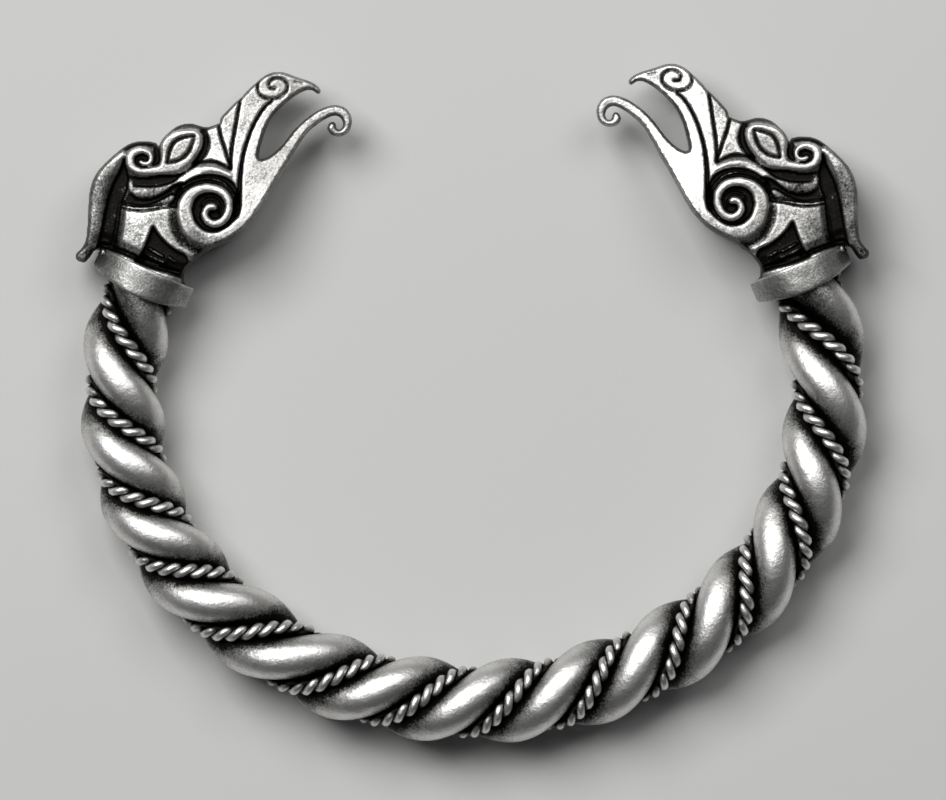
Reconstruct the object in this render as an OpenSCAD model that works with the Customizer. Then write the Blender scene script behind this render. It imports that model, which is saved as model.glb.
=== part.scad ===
// Penannular arm ring of two silver rods and two fine wires twisted together, with a bird's head
// at each end.
// The ring lies flat: X to the right, Y towards the heads, Z up from the surface it lies on.

/* [Ring] */
// Radius of the rope's centre line along each side
side_r = 28.2; // [27:0.1:30]
// Distance from the ring's middle line to the centre of each side's arc
side_x = 7.1; // [6.5:0.1:8]
// Height of the bottom arc's centre above the centres of the sides
bottom_y = 7.8; // [7:0.1:8.5]
// Length of centre line from the bottom to the left collar
left_length = 63.8; // [62:0.1:65]
// Length of centre line from the bottom to the right collar
right_length = 64.4; // [62:0.1:65]

/* [Rope] */
// Length of rope in which a rod makes one full turn
pitch = 17.7; // [17.5:0.1:20]
// Diameter of each thick rod
rod_d = 4.1; // [3.9:0.02:4.1]
// Distance from the rope's centre to the middle of a rod
rod_offset = 2.1; // [2.1:0.05:2.2]
// Diameter over each fine twisted wire
wire_d = 1.4; // [1.2:0.05:1.4]
// Distance from the rope's centre to the middle of a wire
wire_offset = 2.9; // [2.9:0.05:3.0]
// How far the hand-made twist runs ahead and behind on the left arm
twist_wander = 1.1; // [0:0.1:1.2]
// How far the twist falls behind where the rope enters the right collar
slack = 2.5; // [0:0.1:3]

/* [Collars] */
// Outer diameter of the collar
collar_d = 10.3; // [10.2:0.1:10.8]
// Diameter of the hole that takes the rope and the head's stem
collar_bore_d = 9; // [9:0.1:9.2]
// Height of the collar's upper edge above the head's origin
collar_top = 1.0; // [0.9:0.1:1.1]
// Depth of the collar's lower edge below the head's origin, on the two broad faces
collar_bottom = 1.7; // [1.5:0.1:1.8]
// Rise of the lower edge from the broad faces to the ring's inner and outer sides
collar_rise = 0.9; // [0.5:0.1:1]
// Lean of the collars towards the ring's middle line, in degrees
collar_lean = 22.3; // [20:0.1:24]

/* [Heads] */
// Turn of the right head away from a true mirror image, in degrees
right_turn = 1.5; // [0:0.1:2]
// Diameter of the stem that stands in the collar
stem_d = 8.6; // [8.4:0.1:8.8]
// Diameter of the shoulder that the neck starts with above the collar
shoulder_d = 9; // [8.9:0.1:9.2]
// Depth of the hatched notch in the neck
notch_depth = 0.6; // [0.4:0.1:0.8]
// How much narrower each side of a band is at its crest than at its root
draft = 0.3; // [0.1:0.05:0.4]

/* [Hidden] */

silver = [0.72, 0.72, 0.70];
bright_silver = [0.82, 0.82, 0.80];

strands = 2;
rod_sides = 10;
wire_sides = 8;
rope_steps = 96;
egg_sides = 10;
bottom_r = side_r + norm([side_x, bottom_y]);
join_angle = atan2(side_x, bottom_y);
join_length = bottom_r * join_angle * PI / 180;

// Where a rod first shows its crest to the viewer, along the centre line
first_crest = -0.8;
// The uneven stretch of twist: where it starts, and the length of its wave
wander_from = -16.5;
wander_wave = 54;
// Where the twist starts to fall behind on the right arm
slack_from = 46;
// How far short of the head's origin the rope stops, inside the collar
rope_short = 0.1;
// Where the stem's lower end is above the head's origin, inside the collar
stem_low = 0.35;
// Gap between the collar's upper edge and the shoulder of the neck
shoulder_gap = 0.15;
shoulder_h = 0.5;

// The ring's own centre, and the half height of what lies lowest
ring_middle = [-0.19, -1.1];
half_height = collar_d / 2;

// The heads' origins are the middles of the collars, a little outside the rope's centre line
head_out = 0.2;

// Angle of the centre line's outward normal from straight down, at length s from the bottom
function turned(s) =
    abs(s) < join_length
        ? s / bottom_r * 180 / PI
        : sign(s) * (join_angle + (abs(s) - join_length) / side_r * 180 / PI);
function outward(s) = [sin(turned(s)), -cos(turned(s)), 0];
function centre(s) =
    abs(s) < join_length
        ? [0, bottom_y, 0] + bottom_r * outward(s)
        : [sign(s) * side_x, 0, 0] + side_r * outward(s);

// Angle of a strand round the rope, from the ring's outer side over the top to its inner side
function wander(s) =
    s < wander_from ? -twist_wander * cos(360 * (s + 30) / wander_wave)
    : s > slack_from ? slack * ((s - slack_from) / (right_length - slack_from)) ^ 2
    : 0;
function strand_angle(s, start) = 90 + start + 360 * (s - wander(s) - first_crest) / pitch;

// One point of a strand's skin, in the rope's cross-section at length s
function skin_point(s, start, offset, r, q) =
    let (slope = atan(2 * PI * offset / pitch),
         a = strand_angle(s + r * sin(q) * sin(slope), start),
         radial = offset + r * cos(q),
         across = r * sin(q) * cos(slope),
         out = radial * cos(a) - across * sin(a),
         up = radial * sin(a) + across * cos(a))
    centre(s) + out * outward(s) + [0, 0, up];

// A strand of the rope: rings of points in cross-sections of the rope, joined by triangles
module strand(start, offset, d, sides) {
    from = -(left_length - rope_short);
    to = right_length - rope_short;
    points = [for (i = [0 : rope_steps], j = [0 : sides - 1])
        skin_point(from + (to - from) * i / rope_steps, start, offset, d / 2, 360 * j / sides)];
    walls = [for (i = [0 : rope_steps - 1], j = [0 : sides - 1], half = [0, 1])
        let (a = i * sides + j, b = i * sides + (j + 1) % sides)
        half == 0 ? [a, b, b + sides] : [a, b + sides, a + sides]];
    near_cap = [for (j = [sides - 1 : -1 : 0]) j];
    far_cap = [for (j = [0 : sides - 1]) rope_steps * sides + j];
    polyhedron(points, concat(walls, [near_cap, far_cap]), convexity = 10);
}

module rod(k) {
    color(silver) strand(k * 360 / strands, rod_offset, rod_d, rod_sides);
}

module wire(k) {
    color(bright_silver) strand((k + 0.5) * 360 / strands, wire_offset, wire_d, wire_sides);
}

// Places a piece that is drawn for the left end, with the collar's middle at its origin
module at_end(side) {
    if (side == "left")
        translate(centre(-left_length) + head_out * outward(-left_length)) children();
    else
        translate(centre(right_length)) rotate(-right_turn) mirror([1, 0, 0]) children();
}

module collar_shape() {
    rise_r = (collar_d / 2) ^ 2 / (2 * collar_rise);
    rotate(-collar_lean) intersection() {
        translate([0, -collar_bottom, 0]) rotate([-90, 0, 0]) difference() {
            cylinder(h = collar_bottom + collar_top, d = collar_d, $fn = 96);
            translate([0, 0, -1]) cylinder(h = collar_bottom + collar_top + 2, d = collar_bore_d, $fn = 96);
        }
        translate([0, rise_r - collar_bottom, 0]) cylinder(h = 2 * collar_d, r = rise_r, center = true, $fn = 96);
    }
}

module collar(side) {
    color(silver) at_end(side) collar_shape();
}

// Direction of a table's row of points at row i
function way(rows, i) =
    let (back = rows[max(i - 1, 0)], ahead = rows[min(i + 1, len(rows) - 1)],
         d = [ahead[0] - back[0], ahead[1] - back[1]])
    d / norm(d);

// The same table with a narrower row added at each end, which rounds the band's ends
function tip(row, d) = [row[0] + d[0] * row[2], row[1] + d[1] * row[2], 0.4 * row[2], row[3] - 0.1];
function with_tips(rows) =
    let (last = len(rows) - 1)
    concat([tip(rows[0], -way(rows, 0))], rows, [tip(rows[last], way(rows, last))]);

// A raised band on both faces of the head, swept along the rows of a table, with the draft of a casting
module band(plain_rows) {
    rows = with_tips(plain_rows);
    last = len(rows) - 1;
    points = [for (i = [0 : last])
        let (row = rows[i], d = way(rows, i), wide = row[2], high = row[3],
             crest = wide - min(0.4 * wide, draft))
        for (c = [[-wide, 0], [-crest, high], [crest, high], [wide, 0], [crest, -high], [-crest, -high]])
            [row[0] - d[1] * c[0], row[1] + d[0] * c[0], c[1]]];
    walls = [for (i = [0 : last - 1], j = [0 : 5], half = [0, 1])
        let (a = 6 * i + j, b = 6 * i + (j + 1) % 6)
        half == 0 ? [a, b, b + 6] : [a, b + 6, a + 6]];
    near_cap = [for (j = [5 : -1 : 0]) j];
    far_cap = [for (j = [0 : 5]) 6 * last + j];
    polyhedron(points, concat(walls, [near_cap, far_cap]), convexity = 10);
}

// A rounded mass: an egg that is flattened across the ring, by the same four columns
module egg(b) {
    translate([b[0], b[1], 0]) scale([b[2], b[2], b[3]]) sphere(r = 1, $fn = egg_sides);
}

module body(rows) {
    for (i = [0 : len(rows) - 2])
        hull() {
            egg(rows[i]);
            egg(rows[i + 1]);
        }
}

// The tables of the head. Columns: x, y, half width, half height, in the left head's frame.

neck_rows = [
    [1.6, 5.6, 3.8, 4.2],
    [4.0, 8.8, 3.9, 3.6],
    [6.4, 11.6, 3.4, 3.2],
    [9.6, 14.2, 2.1, 2.6],
    [11.6, 17.4, 1.75, 1.9],
    [13.2, 19.1, 1.35, 1.5]];

cheek_rows = [
    [3.6, 4.2, 2.6, 3.8],
    [6.5, 6.4, 3.2, 4.0],
    [9.8, 9.2, 2.7, 3.5],
    [12.0, 10.9, 1.6, 2.8]];

// From the beak's tip down its cutting edge, over the cheek and round the jaw in a spiral
ribbon_rows = [
    [17.45, 18.75, 0.30, 0.6],
    [16.80, 19.15, 0.42, 0.9],
    [15.80, 19.05, 0.50, 1.1],
    [14.80, 18.50, 0.50, 1.5],
    [13.60, 17.55, 0.50, 1.9],
    [12.65, 16.65, 0.55, 2.2],
    [11.95, 15.65, 0.60, 2.5],
    [11.40, 14.55, 0.64, 2.8],
    [11.00, 13.30, 0.68, 3.1],
    [11.20, 11.60, 1.10, 3.4],
    [11.55, 9.90, 1.70, 3.7],
    [11.20, 8.30, 1.35, 4.0],
    [10.75, 6.80, 0.90, 4.3],
    [9.95, 5.55, 0.75, 4.4],
    [8.80, 4.50, 0.65, 4.5],
    [7.40, 3.85, 0.62, 4.5],
    [5.90, 3.95, 0.75, 4.5],
    [4.75, 4.75, 0.80, 4.6],
    [4.20, 6.10, 0.75, 4.6],
    [4.25, 7.30, 0.72, 4.6],
    [4.80, 8.30, 0.58, 4.6],
    [5.70, 8.85, 0.46, 4.6],
    [6.75, 9.02, 0.40, 4.6],
    [7.80, 8.65, 0.40, 4.6],
    [8.45, 7.80, 0.38, 4.6],
    [8.55, 6.80, 0.37, 4.6],
    [8.10, 5.90, 0.40, 4.6],
    [7.20, 5.50, 0.42, 4.6],
    [6.40, 5.95, 0.38, 4.6],
    [6.25, 6.75, 0.33, 4.6],
    [6.75, 7.25, 0.30, 4.6],
    [7.20, 7.05, 0.28, 4.6]];

lower_jaw_rows = [
    [12.20, 10.60, 1.70, 3.3],
    [13.10, 11.50, 1.30, 2.8],
    [14.10, 12.60, 0.95, 2.2],
    [15.00, 13.80, 0.75, 1.8],
    [15.90, 14.85, 0.65, 1.5],
    [16.75, 15.65, 0.60, 1.2],
    [17.70, 16.30, 0.50, 1.0],
    [18.60, 16.70, 0.45, 0.9],
    [19.40, 16.75, 0.48, 0.9],
    [20.05, 16.45, 0.48, 0.9],
    [20.40, 15.85, 0.44, 0.9],
    [20.38, 15.20, 0.40, 0.9],
    [20.05, 14.70, 0.38, 0.9],
    [19.45, 14.50, 0.33, 0.9],
    [18.95, 14.75, 0.33, 0.9],
    [18.80, 15.20, 0.33, 0.9]];

snout_rows = [
    [9.40, 12.10, 0.40, 3.4],
    [9.65, 13.60, 0.50, 3.2],
    [10.00, 15.00, 0.60, 2.9],
    [10.60, 16.50, 0.85, 2.6],
    [11.40, 17.90, 0.90, 2.3]];

snout_knob_rows = [
    [13.00, 19.20, 1.35, 2.0],
    [14.50, 19.45, 0.85, 1.6],
    [15.90, 19.45, 0.55, 1.1]];

wedge_rows = [
    [8.50, 12.90, 0.20, 3.4],
    [8.45, 14.60, 0.50, 3.1],
    [8.60, 15.90, 0.65, 2.8],
    [9.20, 17.00, 0.35, 2.5]];

brow_rows = [
    [7.60, 12.00, 0.50, 3.7],
    [7.20, 13.20, 0.65, 3.5],
    [6.90, 14.40, 0.60, 3.2]];

// The eye's rim, then the curl that it runs out into
eye_rows = [
    [5.60, 14.20, 0.38, 3.7],
    [4.80, 14.55, 0.38, 3.7],
    [3.70, 14.35, 0.42, 3.8],
    [2.60, 13.80, 0.45, 3.9],
    [2.15, 12.90, 0.40, 3.9],
    [2.15, 12.00, 0.35, 3.9]];

eye_curl_rows = [
    [5.60, 14.20, 0.38, 3.7],
    [5.50, 13.20, 0.42, 3.8],
    [5.00, 12.20, 0.42, 3.9],
    [4.20, 11.35, 0.45, 4.0],
    [3.10, 11.00, 0.42, 4.0],
    [1.80, 10.95, 0.40, 4.0],
    [0.60, 10.65, 0.36, 4.0],
    [-0.40, 10.75, 0.38, 4.0],
    [-1.10, 11.25, 0.38, 3.9],
    [-1.25, 12.00, 0.38, 3.9],
    [-0.80, 12.60, 0.34, 3.9],
    [0.00, 12.80, 0.28, 3.9],
    [0.65, 12.50, 0.26, 3.9],
    [0.85, 11.85, 0.24, 3.9],
    [0.40, 11.40, 0.24, 3.9],
    [-0.05, 11.55, 0.24, 3.9]];

eyeball_rows = [
    [2.95, 11.95, 0.20, 3.7],
    [3.50, 12.70, 0.50, 3.8],
    [4.25, 13.40, 0.45, 3.8],
    [4.85, 13.95, 0.15, 3.7]];

leaf_rows = [
    [8.70, 10.80, 0.18, 3.7],
    [7.60, 10.95, 0.38, 3.8],
    [6.40, 10.90, 0.46, 3.8],
    [4.80, 10.40, 0.40, 3.7],
    [3.20, 9.70, 0.45, 3.8],
    [1.60, 8.95, 0.60, 3.9],
    [0.20, 8.70, 0.70, 3.9],
    [-0.75, 8.95, 0.65, 3.7]];

crest_rows = [
    [0.50, 13.00, 0.58, 2.6],
    [-2.00, 12.10, 0.65, 3.1],
    [-3.25, 11.10, 0.78, 3.2],
    [-4.10, 9.80, 0.90, 3.3],
    [-4.65, 8.00, 0.84, 3.3],
    [-4.90, 5.60, 0.68, 3.2],
    [-5.10, 4.20, 0.52, 3.1],
    [-5.50, 3.30, 0.38, 3.0],
    [-6.25, 2.35, 0.50, 2.9]];

// The low ground that joins the crest strap to the neck and closes the head behind the eye
ground_rows = [
    [-2.6, 5.0, 2.2, 2.2],
    [-2.0, 9.4, 2.2, 2.2],
    [1.0, 12.0, 1.8, 2.4],
    [4.4, 13.6, 1.8, 2.8]];

// The neck's notch and the ridges that hatch it: [x, y] and [x, y, length]
notch_outline = [[1.05, 5.1], [1.6, 4.3], [2.3, 3.6], [3.1, 3.0], [4.3, 2.2], [3.7, 1.1], [-0.5, 1.9]];
hatch_rows = [[0.45, 3.3, 1.9], [0.0, 2.6, 3.0], [-0.3, 1.95, 3.9]];
hatch_slope = -27;
hatch_w = 0.28;

module notch(side_z) {
    floor_z = 4.05 - notch_depth;
    translate([0, 0, side_z > 0 ? floor_z : -floor_z - 2]) linear_extrude(2) difference() {
        polygon(notch_outline);
        for (row = hatch_rows)
            translate([row[0], row[1]]) rotate(hatch_slope) square([row[2], hatch_w]);
    }
}

// The stem, with its flat end in the collar, and the shoulder that spreads from it into the neck
module stem() {
    stem_top = collar_top + shoulder_gap;
    rotate(-collar_lean) translate([0, stem_low, 0]) rotate([-90, 0, 0])
        cylinder(h = stem_top + shoulder_h - stem_low, d = stem_d, $fn = 24);
    hull() {
        rotate(-collar_lean) translate([0, stem_top, 0]) rotate([-90, 0, 0])
            cylinder(h = shoulder_h, d = shoulder_d, $fn = 24);
        egg(neck_rows[0]);
    }
}

module head_shape() {
    difference() {
        union() {
            stem();
            body(neck_rows);
            body(cheek_rows);
            band(ground_rows);
            band(ribbon_rows);
            band(lower_jaw_rows);
            band(snout_rows);
            band(snout_knob_rows);
            band(wedge_rows);
            band(brow_rows);
            band(eye_rows);
            band(eye_curl_rows);
            band(eyeball_rows);
            band(leaf_rows);
            band(crest_rows);
        }
        notch(1);
        notch(-1);
    }
}

module head(side) {
    color(bright_silver) at_end(side) head_shape();
}

// Stands the ring on the surface, with the middle of its outline over the origin
module in_frame() {
    translate([-ring_middle[0], -ring_middle[1], half_height]) children();
}

in_frame() rod(0);  // rod_1
in_frame() rod(1);  // rod_2
in_frame() wire(0);  // wire_1
in_frame() wire(1);  // wire_2
in_frame() collar("left");  // collar_left
in_frame() collar("right");  // collar_right
in_frame() head("left");  // head_left
in_frame() head("right");  // head_right
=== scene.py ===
# %% [markdown]
# # An open arm ring of twisted silver, with two birds' heads
#
# The real ring is made of thick silver rods and fine wires twisted into a rope. A collar closes each
# end of the rope, and a cast bird's head stands in each collar. The surface is antiqued: it was
# blackened all over and then rubbed bright on everything that stands out.
#
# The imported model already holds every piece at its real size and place. It is loaded first, and every
# visible piece below is made to fit it. All shapes are worked out in millimetres, in the ring's own
# coordinates, and turned into metres once, when a mesh is made.

# %% The frame
import math

import bpy
import numpy as np
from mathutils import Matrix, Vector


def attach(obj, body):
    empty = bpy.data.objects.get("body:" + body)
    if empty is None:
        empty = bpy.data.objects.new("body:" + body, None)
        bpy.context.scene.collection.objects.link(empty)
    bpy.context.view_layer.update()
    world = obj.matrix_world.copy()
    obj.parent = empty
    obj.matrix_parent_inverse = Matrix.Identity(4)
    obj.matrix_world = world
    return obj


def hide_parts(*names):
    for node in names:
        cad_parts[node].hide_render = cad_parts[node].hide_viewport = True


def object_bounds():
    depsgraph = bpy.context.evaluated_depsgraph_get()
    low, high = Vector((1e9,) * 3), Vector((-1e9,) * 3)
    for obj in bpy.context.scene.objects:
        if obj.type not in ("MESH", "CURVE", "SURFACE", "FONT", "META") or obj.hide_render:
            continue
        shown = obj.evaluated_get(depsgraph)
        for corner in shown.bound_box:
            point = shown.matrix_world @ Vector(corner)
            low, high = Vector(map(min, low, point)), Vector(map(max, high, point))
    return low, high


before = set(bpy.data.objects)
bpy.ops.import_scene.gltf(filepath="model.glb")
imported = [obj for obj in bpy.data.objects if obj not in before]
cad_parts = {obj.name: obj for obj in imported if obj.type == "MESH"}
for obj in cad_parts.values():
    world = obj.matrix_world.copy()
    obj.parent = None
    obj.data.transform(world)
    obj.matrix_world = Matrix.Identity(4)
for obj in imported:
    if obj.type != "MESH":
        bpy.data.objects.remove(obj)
cad_low, cad_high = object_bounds()
cad_size = [round((high - low) * 1000, 2) for low, high in zip(cad_low, cad_high)]
print("CAD size in mm:", cad_size)

# %% [markdown]
# ## The ring's centre line
#
# Seen from above, the rope's middle follows three arcs: a wide one at the bottom and a rounder one up
# each side. A length along this line, counted from the bottom and positive to the right, says where
# anything on the rope is. The same few sizes give the collars' places too.

# %% Sizes of the ring, in millimetres
SIDE_R = 28.2
SIDE_X = 7.1
BOTTOM_Y = 7.8
LEFT_LENGTH = 63.8
RIGHT_LENGTH = 64.4
BOTTOM_R = SIDE_R + math.hypot(SIDE_X, BOTTOM_Y)
JOIN_ANGLE = math.atan2(SIDE_X, BOTTOM_Y)
JOIN_LENGTH = BOTTOM_R * JOIN_ANGLE

RING_MIDDLE = np.array([-0.19, -1.10])
HALF_HEIGHT = 5.15
MM = 0.001


def outward_angle(s):
    """Angle of the outward direction from straight down, at length s."""
    if abs(s) < JOIN_LENGTH:
        return s / BOTTOM_R
    return math.copysign(JOIN_ANGLE + (abs(s) - JOIN_LENGTH) / SIDE_R, s)


def outward(s):
    angle = outward_angle(s)
    return np.array([math.sin(angle), -math.cos(angle)])


def centre(s):
    if abs(s) < JOIN_LENGTH:
        return np.array([0.0, BOTTOM_Y]) + BOTTOM_R * outward(s)
    return np.array([math.copysign(SIDE_X, s), 0.0]) + SIDE_R * outward(s)


def to_frame(points):
    """Ring coordinates in millimetres to the frame's metres."""
    shift = np.array([-RING_MIDDLE[0], -RING_MIDDLE[1], HALF_HEIGHT])
    return (np.asarray(points, dtype=np.float64) + shift) * MM


print("length of the rope in mm:", LEFT_LENGTH + RIGHT_LENGTH)

# %% [markdown]
# ## Camera, light and floor
#
# The ring was photographed lying flat, from straight above. A long lens far away keeps the picture as
# flat as the photo's. The ring was sized so that ten pixels of the photo are one millimetre, and that
# fixes the lens's height.
#
# Silver shows mostly what it reflects. One soft light stands high behind the heads with a weak one to
# its right, so that what faces up turns bright and what faces the back of the rope falls dark, as in
# the photo. The room is dim, or its light would fill the flanks, and the pale floor lights the sides a
# little from below.

# %% Camera
PHOTO_W = 946
PHOTO_H = 800
PX_PER_MM = 10.0
RING_CENTRE_PX = (474.3, 392.5)
LENS = 700.0
SENSOR = 36.0

view_x = (PHOTO_W / 2 - RING_CENTRE_PX[0]) / PX_PER_MM
view_y = (RING_CENTRE_PX[1] - PHOTO_H / 2) / PX_PER_MM
view_height = PHOTO_W / PX_PER_MM * LENS / SENSOR

camera_data = bpy.data.cameras.new("camera")
camera_data.lens = LENS
camera_data.sensor_width = SENSOR
camera = bpy.data.objects.new("camera", camera_data)
camera.location = to_frame([[view_x, view_y, view_height]])[0]
bpy.context.scene.collection.objects.link(camera)
bpy.context.scene.camera = camera
print("camera height in mm:", round(view_height))


# %% Lights and floor
ROOM_COLOUR = (0.32, 0.33, 0.35, 1)
ROOM_STRENGTH = 0.10
FLOOR_HALF = 3.0
FLOOR_COLOUR = (0.60, 0.60, 0.59, 1)
FLOOR_ROUGHNESS = 0.6


def soft_light(name, place, size, power):
    """A square soft box at a place in metres, turned towards the ring."""
    data = bpy.data.lights.new(name, "AREA")
    data.shape = "SQUARE"
    data.size = size
    data.energy = power
    light = bpy.data.objects.new(name, data)
    light.location = place
    light.rotation_mode = "QUATERNION"
    light.rotation_quaternion = light.location.to_track_quat("Z", "Y")
    bpy.context.scene.collection.objects.link(light)


soft_light("key_light", (-0.31, 0.38, 0.76), 0.55, 7.6)
soft_light("back_fill", (0.32, 0.40, 0.72), 0.40, 1.7)

world = bpy.data.worlds.new("studio")
world.use_nodes = True
room = world.node_tree.nodes["Background"]
room.inputs["Color"].default_value = ROOM_COLOUR
room.inputs["Strength"].default_value = ROOM_STRENGTH
bpy.context.scene.world = world
bpy.context.scene.view_settings.view_transform = "Standard"

floor_mesh = bpy.data.meshes.new("floor")
floor_corners = [(-FLOOR_HALF, -FLOOR_HALF, 0), (FLOOR_HALF, -FLOOR_HALF, 0),
                 (FLOOR_HALF, FLOOR_HALF, 0), (-FLOOR_HALF, FLOOR_HALF, 0)]
floor_mesh.from_pydata(floor_corners, [], [(0, 1, 2, 3)])
floor = bpy.data.objects.new("floor", floor_mesh)
bpy.context.scene.collection.objects.link(floor)
floor_material = bpy.data.materials.new("pale_floor")
floor_material.use_nodes = True
floor_shader = floor_material.node_tree.nodes["Principled BSDF"]
floor_shader.inputs["Base Color"].default_value = FLOOR_COLOUR
floor_shader.inputs["Roughness"].default_value = FLOOR_ROUGHNESS
floor_mesh.materials.append(floor_material)

# %% [markdown]
# ## Antiqued silver
#
# Old-looking silver is one metal in two states. Where it is rubbed it is nearly white and quite
# smooth. In the hollows a black film of sulphide stays, which hardly shines. So the material mixes the
# two by how well a point is rubbed, which every mesh carries in an attribute called relief: 0 at the
# bottom of a hollow and 1 on the brightest crest. Noise breaks the border between them into specks and
# clouds, and a fine bump pits the surface. Reading an attribute keeps the patina where it belongs from
# every side. The scales of the noise are counts in a metre, and the bump's depth is in metres.

# %% Material
BRIGHT_SILVER = (0.90, 0.89, 0.87, 1)
WORN_SILVER = (0.66, 0.65, 0.63, 1)
GREY_SILVER = (0.26, 0.26, 0.25, 1)
BLACK_FILM = (0.012, 0.011, 0.010, 1)
FILM_ROUGHNESS = 0.55
WORN_ROUGHNESS = 0.44

NOISE_ROUGHNESS = 0.6
SPECK_SCALE = 4600
SPECK_ROUGHNESS = 0.7
SPECK_SHARE = 1.6
CLOUD_SCALE = 600
PIT_SCALE = 3800
WAVE_SCALE = 900
WAVE_SHARE = 1.5
BUMP_STRENGTH = 0.60
BUMP_DEPTH = 0.00006


def antiqued_silver(name, dark_until, bright_from, mottle):
    """Silver that is black where relief is below dark_until and bright above bright_from."""
    material = bpy.data.materials.new(name)
    material.use_nodes = True
    nodes = material.node_tree.nodes
    links = material.node_tree.links
    shader = nodes["Principled BSDF"]
    shader.inputs["Metallic"].default_value = 1.0

    relief = nodes.new("ShaderNodeAttribute")
    relief.attribute_name = "relief"
    place = nodes.new("ShaderNodeTexCoord")

    def noise(scale, detail, roughness=NOISE_ROUGHNESS):
        made = nodes.new("ShaderNodeTexNoise")
        made.inputs["Scale"].default_value = scale
        made.inputs["Detail"].default_value = detail
        made.inputs["Roughness"].default_value = roughness
        links.new(place.outputs["Object"], made.inputs["Vector"])
        return made.outputs["Fac"]

    def maths(operation, first, second):
        made = nodes.new("ShaderNodeMath")
        made.operation = operation
        for socket, value in zip(made.inputs, (first, second)):
            if isinstance(value, (int, float)):
                socket.default_value = value
            else:
                links.new(value, socket)
        return made.outputs[0]

    specks = maths("SUBTRACT", noise(SPECK_SCALE, 3, SPECK_ROUGHNESS), 0.5)
    clouds = maths("SUBTRACT", noise(CLOUD_SCALE, 3), 0.5)
    speckled = maths("ADD", relief.outputs["Fac"], maths("MULTIPLY", specks, mottle * SPECK_SHARE))
    worn = maths("ADD", speckled, maths("MULTIPLY", clouds, mottle))

    colours = nodes.new("ShaderNodeValToRGB")
    links.new(worn, colours.inputs["Fac"])
    ramp = colours.color_ramp
    ramp.elements[0].position = dark_until
    ramp.elements[0].color = BLACK_FILM
    ramp.elements[1].position = 1.0
    ramp.elements[1].color = BRIGHT_SILVER
    ramp.elements.new(bright_from).color = WORN_SILVER
    ramp.elements.new((dark_until + bright_from) / 2).color = GREY_SILVER
    links.new(colours.outputs["Color"], shader.inputs["Base Color"])

    shine = nodes.new("ShaderNodeMapRange")
    shine.inputs["From Min"].default_value = dark_until
    shine.inputs["From Max"].default_value = bright_from
    shine.inputs["To Min"].default_value = FILM_ROUGHNESS
    shine.inputs["To Max"].default_value = WORN_ROUGHNESS
    links.new(worn, shine.inputs["Value"])
    links.new(shine.outputs["Result"], shader.inputs["Roughness"])

    waves = maths("MULTIPLY", noise(WAVE_SCALE, 1), WAVE_SHARE)
    bump = nodes.new("ShaderNodeBump")
    bump.inputs["Strength"].default_value = BUMP_STRENGTH
    bump.inputs["Distance"].default_value = BUMP_DEPTH
    links.new(maths("ADD", noise(PIT_SCALE, 2), waves), bump.inputs["Height"])
    links.new(bump.outputs["Normal"], shader.inputs["Normal"])
    return material


rod_silver = antiqued_silver("rod_silver", 0.22, 0.70, 0.55)
wire_silver = antiqued_silver("wire_silver", 0.25, 0.58, 0.30)
collar_silver = antiqued_silver("collar_silver", 0.20, 0.75, 0.34)
cast_silver = antiqued_silver("cast_silver", 0.14, 0.62, 0.54)


# %% Making a mesh from arrays
def mesh_from(name, points, quads, relief, material):
    """A smooth mesh object from points in ring millimetres, corner numbers and each point's relief."""
    mesh = bpy.data.meshes.new(name)
    mesh.vertices.add(len(points))
    mesh.vertices.foreach_set("co", to_frame(points).astype(np.float32).ravel())
    mesh.loops.add(quads.size)
    mesh.loops.foreach_set("vertex_index", quads.astype(np.int32).ravel())
    mesh.polygons.add(len(quads))
    corners = quads.shape[1]
    mesh.polygons.foreach_set("loop_start", np.arange(0, quads.size, corners, dtype=np.int32))
    mesh.update(calc_edges=True)
    mesh.validate()
    finish_mesh(mesh, relief, material)
    piece = bpy.data.objects.new(name, mesh)
    bpy.context.scene.collection.objects.link(piece)
    return piece


def finish_mesh(mesh, relief, material):
    """Gives a mesh its relief attribute, its material and smooth faces."""
    layer = mesh.attributes.new("relief", "FLOAT", "POINT")
    layer.data.foreach_set("value", np.asarray(relief, dtype=np.float32))
    mesh.polygons.foreach_set("use_smooth", np.ones(len(mesh.polygons), dtype=bool))
    mesh.materials.clear()
    mesh.materials.append(material)
    mesh.update()


def put_in_place(piece, node):
    """Hangs a piece on the root body, hides the model's part that it stands for and prints its faces."""
    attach(piece, "root")
    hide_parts(node)
    print(node, "has", len(piece.data.polygons), "faces")


# %% [markdown]
# ## The rope
#
# Two thick rods are twisted together to the left, and in each of the two grooves between them lies a
# pair of fine wires that are twisted too. Every strand follows one rule, so Geometry Nodes make it: a
# line of points is moved onto a helix round the centre line, and a circle is swept along it. The twist
# was made by hand, so on the left arm it runs a little ahead and behind, and it slackens at the right
# end.
#
# A wire uses the same rule twice: its helix round the rope is the centre line of two finer helices.

# %% Sizes of the rope, in millimetres
PITCH = 17.7
FIRST_CREST = -0.8
TWIST_WANDER = 1.1
WANDER_FROM = -16.5
WANDER_WAVE = 54.0
WANDER_SHIFT = 30.0
SLACK = 2.5
SLACK_FROM = 46.0
ROPE_SHORT = 0.2

STRANDS = 2
ROD_R = 2.1
ROD_OFFSET = 2.12
ROD_POINTS = 520
ROD_SIDES = 40

PAIR_OFFSET = 2.86
FINE_R = 0.42
FINE_OFFSET = 0.40
FINE_PITCH = 3.00
PAIR_POINTS = 400
FINE_POINTS = 1000
FINE_SIDES = 10

GUIDE_STEP = 0.25
GUIDE_SPARE = 2.0


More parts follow.
